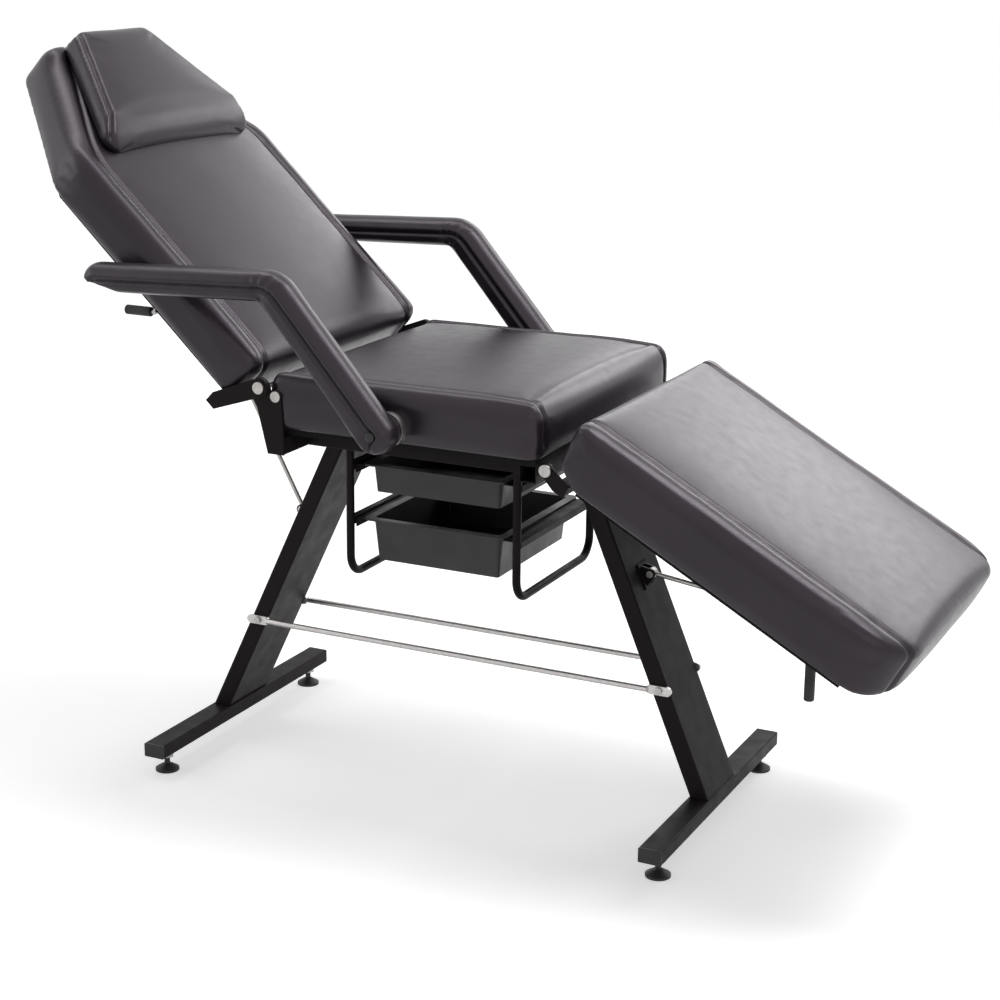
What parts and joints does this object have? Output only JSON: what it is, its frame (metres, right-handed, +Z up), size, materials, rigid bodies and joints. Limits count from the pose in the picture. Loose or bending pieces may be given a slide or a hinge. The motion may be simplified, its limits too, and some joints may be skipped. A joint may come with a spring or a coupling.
{
  "type": "tattoo chair",
  "caption": "Adjustable padded tattoo chair on two leaning legs with reclining back, folding leg rest, swinging armrests, head pillow, locking struts and slide-out trays.",
  "frame": {"origin": "on the floor, under the middle of the chair's length and width in the pose shown", "axes": "+X towards the foot end of the leg rest, +Y to the far side, +Z up"},
  "size_m": [1.6665, 0.716, 1.2798],
  "materials": {
    "frame_paint": "satin black-brown powder coat",
    "black_plastic": "matte",
    "bright_steel": "zinc plated",
    "chrome_steel": "polished",
    "strut_steel": "bright drawn steel",
    "grip_plastic": "matte",
    "tray_plastic": "semi-gloss",
    "plywood": "raw",
    "covered_board": "plywood under a black dust cover",
    "upholstery": "soft grain, low sheen",
    "hook_tape": "matte"
  },
  "bodies": {
    "seat_frame": {"rear_leg": "frame_paint", "front_leg": "frame_paint", "foot_bars": "frame_paint", "foot_bar_plugs": "black_plastic", "levelling_foot_nuts": "bright_steel", "stretcher_rods": "chrome_steel", "stretcher_bolts": "bright_steel", "seat_end_members": "frame_paint", "seat_side_rails": "frame_paint", "hanger_members": "frame_paint", "rear_hanger_hoop": "frame_paint", "front_hanger_hoop": "frame_paint", "hanger_crossbars": "frame_paint", "tray_rails": "frame_paint", "seat_board": "covered_board", "side_battens": "plywood", "seat_cushion": "upholstery", "seat_hinge_plates": "frame_paint", "recline_pivot_bolts": "bright_steel", "arm_pivot_discs": "chrome_steel", "arm_pivot_bolts": "bright_steel", "leg_rest_lugs": "frame_paint", "leg_rest_pivot_bolts": "bright_steel", "strut_foot_brackets": "frame_paint", "strut_foot_pins": "bright_steel"},
    "back": {"back_cushion": "upholstery", "back_board": "covered_board", "back_rails": "frame_paint", "back_cross_members": "frame_paint", "back_hinge_plates": "frame_paint", "back_strut_bracket": "frame_paint", "back_strut_pin": "bright_steel", "head_pillow": "upholstery", "pillow_tapes": "hook_tape"},
    "leg_rest": {"leg_rest_cushion": "upholstery", "leg_rest_board": "covered_board", "leg_rest_rails": "frame_paint", "leg_rest_cross_members": "frame_paint", "leg_rest_arms": "frame_paint", "leg_strut_bracket": "frame_paint", "leg_strut_pin": "bright_steel"},
    "back_rod": {"back_strut_rod": "strut_steel"},
    "back_case": {"back_strut_case": "strut_steel"},
    "back_release": {"back_release_lever": "strut_steel", "back_release_grip": "grip_plastic"},
    "leg_rod": {"leg_strut_rod": "strut_steel"},
    "leg_case": {"leg_strut_case": "strut_steel"},
    "leg_release": {"leg_release_lever": "strut_steel", "leg_release_grip": "grip_plastic"},
    "near_arm": {"near_arm_pad": "upholstery", "near_arm_core": "plywood"},
    "far_arm": {"far_arm_pad": "upholstery", "far_arm_core": "plywood"},
    "upper_tray_body": {"upper_tray": "tray_plastic"},
    "lower_tray_body": {"lower_tray": "tray_plastic"},
    "rear_near_foot_body": {"rear_near_foot": "black_plastic"},
    "rear_far_foot_body": {"rear_far_foot": "black_plastic"},
    "front_near_foot_body": {"front_near_foot": "black_plastic"},
    "front_far_foot_body": {"front_far_foot": "black_plastic"}
  },
  "joints": [
    {"name": "back_recline", "type": "hinge", "parent": "seat_frame", "child": "back", "pos_m": [-0.26438, 0, 0.731], "axis": [0, 1, 0], "range_deg": [-43.3, 26.7]},
    {"name": "leg_rest_fold", "type": "hinge", "parent": "seat_frame", "child": "leg_rest", "pos_m": [0.23262, 0, 0.646], "axis": [0, 1, 0], "range_deg": [-29, 16]},
    {"name": "back_rod_pivot", "type": "hinge", "parent": "seat_frame", "child": "back_rod", "pos_m": [-0.3595, 0, 0.442], "axis": [0, 1, 0], "range_deg": [-30, 19]},
    {"name": "back_case_pivot", "type": "hinge", "parent": "back", "child": "back_case", "pos_m": [-0.63399, 0, 0.94959], "axis": [0, 1, 0], "range_deg": [-10, 16]},
    {"name": "leg_rod_pivot", "type": "hinge", "parent": "seat_frame", "child": "leg_rod", "pos_m": [0.31471, 0, 0.4205], "axis": [0, 1, 0], "range_deg": [-36, 20]},
    {"name": "leg_case_pivot", "type": "hinge", "parent": "leg_rest", "child": "leg_case", "pos_m": [0.67883, 0, 0.37408], "axis": [0, 1, 0], "range_deg": [-7, 4]},
    {"name": "back_release_turn", "type": "hinge", "parent": "back_case", "child": "back_release", "pos_m": [-0.57609, 0, 0.80048], "axis": [0, 1, 0], "range_deg": [0, 18], "stiffness_Nm_per_rad": 1.5, "springref_deg": -11.46},
    {"name": "leg_release_turn", "type": "hinge", "parent": "leg_case", "child": "leg_release", "pos_m": [0.63067, 0, 0.36006], "axis": [0, 1, 0], "range_deg": [0, 18], "stiffness_Nm_per_rad": 1.5, "springref_deg": -11.46},
    {"name": "near_arm_swing", "type": "hinge", "parent": "seat_frame", "child": "near_arm", "pos_m": [-0.02438, -0.3, 0.69], "axis": [0, 1, 0], "range_deg": [-90, 0]},
    {"name": "far_arm_swing", "type": "hinge", "parent": "seat_frame", "child": "far_arm", "pos_m": [-0.02438, 0.3, 0.69], "axis": [0, 1, 0], "range_deg": [-90, 0]},
    {"name": "upper_tray_slide", "type": "slide", "parent": "seat_frame", "child": "upper_tray_body", "axis": [0, 1, 0], "range_m": [-0.145, 0.145]},
    {"name": "lower_tray_slide", "type": "slide", "parent": "seat_frame", "child": "lower_tray_body", "axis": [0, 1, 0], "range_m": [-0.145, 0.145]},
    {"name": "rear_near_foot_height", "type": "slide", "parent": "seat_frame", "child": "rear_near_foot_body", "axis": [0, 0, 1], "range_m": [-0.012, 0]},
    {"name": "rear_far_foot_height", "type": "slide", "parent": "seat_frame", "child": "rear_far_foot_body", "axis": [0, 0, 1], "range_m": [-0.012, 0]},
    {"name": "front_near_foot_height", "type": "slide", "parent": "seat_frame", "child": "front_near_foot_body", "axis": [0, 0, 1], "range_m": [-0.012, 0]},
    {"name": "front_far_foot_height", "type": "slide", "parent": "seat_frame", "child": "front_far_foot_body", "axis": [0, 0, 1], "range_m": [-0.012, 0]}
  ],
  "couplings": [
    {"joint": "back_rod_pivot", "follows": "back_recline", "ratio": 0.66},
    {"joint": "back_case_pivot", "follows": "back_recline", "ratio": -0.34},
    {"joint": "leg_rod_pivot", "follows": "leg_rest_fold", "ratio": 1.2},
    {"joint": "leg_case_pivot", "follows": "leg_rest_fold", "ratio": 0.2}
  ]
}
